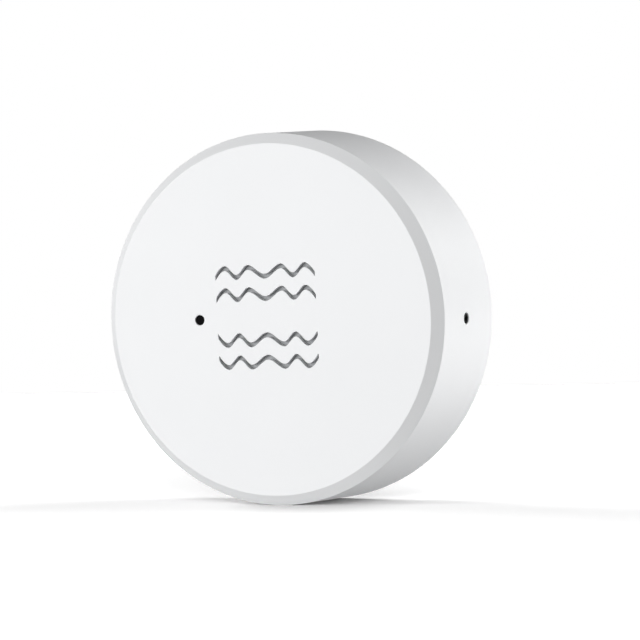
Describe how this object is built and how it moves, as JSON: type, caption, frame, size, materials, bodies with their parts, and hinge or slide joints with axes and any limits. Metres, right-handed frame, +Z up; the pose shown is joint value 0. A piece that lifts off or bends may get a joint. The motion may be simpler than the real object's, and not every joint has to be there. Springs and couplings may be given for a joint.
{
  "type": "wall movement sensor",
  "caption": "Round battery-powered movement sensor with wavy sounder slots, indicator light, pin-hole reset and a magnetic wall plate.",
  "frame": {"origin": "centre of the rear adhesive face, in the wall's plane", "axes": "+Y runs through the case into the wall, so the face looks along -Y; +Z up as hung; +X towards the side with the reset hole"},
  "size_m": [0.0624, 0.0205, 0.0624],
  "materials": {
    "case_white": "fine moulded texture, satin white",
    "plate_white": "moulded, satin white",
    "tray_natural": "moulded, pale grey-white",
    "pad_foam": "grey closed-cell foam with adhesive faces",
    "keeper_steel": "zinc plated steel",
    "magnet_nickel": "nickel plated magnet",
    "mesh_cloth": "woven acoustic cloth, grey",
    "foam_dark": "soft dark foam gasket",
    "sounder_black": "black moulded resin",
    "bender_brass": "thin brass disc",
    "ceramic_ivory": "fired piezo ceramic",
    "pipe_smoke": "dark smoked light guide",
    "led_white": "moulded lamp chip",
    "board_green": "green solder mask over laminate",
    "radio_green": "blue-green solder mask over laminate",
    "shield_tin": "tin plated shield can",
    "copper_trace": "gold flashed copper trace",
    "chip_black": "black moulded chip package",
    "sensor_chip": "black moulded sensor package",
    "passive_tan": "fired chip parts with tinned ends",
    "crystal_can": "metal lidded crystal",
    "capacitor_can": "aluminium capacitor can",
    "cell_wrap_left": "plain wrapped cell, no printing",
    "cell_wrap_right": "plain wrapped cell, no printing",
    "contact_nickel": "nickel plated spring steel",
    "screw_zinc": "zinc plated screw",
    "seal_rubber": "black moulded seal",
    "switch_black": "black switch housing",
    "stem_black": "black switch stem",
    "button_black": "black moulded button",
    "pin_white": "white moulded pin",
    "stem_white": "white moulded stem",
    "spring_steel": "music wire"
  },
  "bodies": {
    "wall_mount": {"mount_plate": "plate_white", "adhesive_pad": "pad_foam", "keeper_discs": "keeper_steel"},
    "sensor": {"front_cover": "case_white", "vent_mesh": "mesh_cloth", "sounder_seal": "foam_dark", "sounder_case": "sounder_black", "sounder_bender": "bender_brass", "sounder_ceramic": "ceramic_ivory", "light_pipe": "pipe_smoke", "status_led": "led_white", "circuit_board": "board_green", "radio_board": "radio_green", "radio_shield": "shield_tin", "antenna": "copper_trace", "motion_chip": "sensor_chip", "board_chips": "chip_black", "board_passives": "passive_tan", "crystal": "crystal_can", "supply_capacitor": "capacitor_can", "battery_tray": "tray_natural", "cell_left": "cell_wrap_left", "cell_right": "cell_wrap_right", "positive_contact": "contact_nickel", "negative_contact": "contact_nickel", "bridge_contact": "contact_nickel", "dock_magnets": "magnet_nickel", "case_screws": "screw_zinc", "case_seal": "seal_rubber", "reset_switch": "switch_black", "tamper_switch": "switch_black", "tamper_spring": "spring_steel"},
    "button": {"reset_button": "button_black"},
    "reset_stem": {"reset_switch_stem": "stem_black"},
    "pin": {"tamper_pin": "pin_white"},
    "tamper_stem": {"tamper_switch_stem": "stem_white"}
  },
  "joints": [
    {"name": "sensor_pull", "type": "slide", "parent": "wall_mount", "child": "sensor", "axis": [0, -1, 0], "range_m": [0, 0.03]},
    {"name": "reset_press", "type": "slide", "parent": "sensor", "child": "button", "axis": [-1, 0, 0], "range_m": [0, 0.00035], "stiffness_N_per_m": 1500},
    {"name": "reset_stem_press", "type": "slide", "parent": "sensor", "child": "reset_stem", "axis": [-1, 0, 0], "range_m": [0, 0.00035]},
    {"name": "tamper_release", "type": "slide", "parent": "sensor", "child": "pin", "axis": [0, 1, 0], "range_m": [0, 0.0015], "deforming": ["tamper_spring"]},
    {"name": "tamper_stem_release", "type": "slide", "parent": "sensor", "child": "tamper_stem", "axis": [0, 1, 0], "range_m": [0, 0.0015]}
  ],
  "couplings": [
    {"joint": "reset_stem_press", "follows": "reset_press", "ratio": 1},
    {"joint": "tamper_stem_release", "follows": "tamper_release", "ratio": 1}
  ]
}
